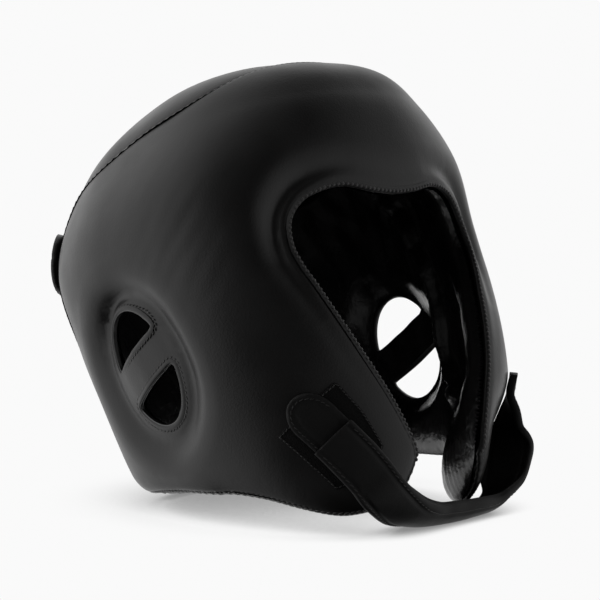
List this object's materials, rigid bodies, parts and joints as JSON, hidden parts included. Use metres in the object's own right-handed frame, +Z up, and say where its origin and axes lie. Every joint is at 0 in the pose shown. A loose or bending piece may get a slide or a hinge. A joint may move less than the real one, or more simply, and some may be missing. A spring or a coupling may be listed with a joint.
{
  "type": "boxing headgear",
  "caption": "Padded leather boxing headgear with an open face, slanted ear holes, a padded crown, a glossy lining and a chin strap fastened on a cheek patch.",
  "frame": {"origin": "bottom centre of the overall box, on the surface that the headgear rests on", "axes": "+X to the wearer's left, -Y the way the wearer faces, +Z up from the surface; the headgear leans back at rest"},
  "size_m": [0.2246, 0.2764, 0.2427],
  "materials": {
    "shell_leather": "matte black leather",
    "lining_leather": "glossy black lining leather",
    "strap_leather": "matte black leather",
    "patch_fabric": "black loop fabric"
  },
  "bodies": {
    "root": {"main_shell": "shell_leather", "crown_panel": "shell_leather", "back_panel": "shell_leather", "lining": "lining_leather", "rear_strap": "strap_leather", "chin_strap": "strap_leather", "strap_tab": "strap_leather", "cheek_patch": "patch_fabric"}
  },
  "joints": []
}
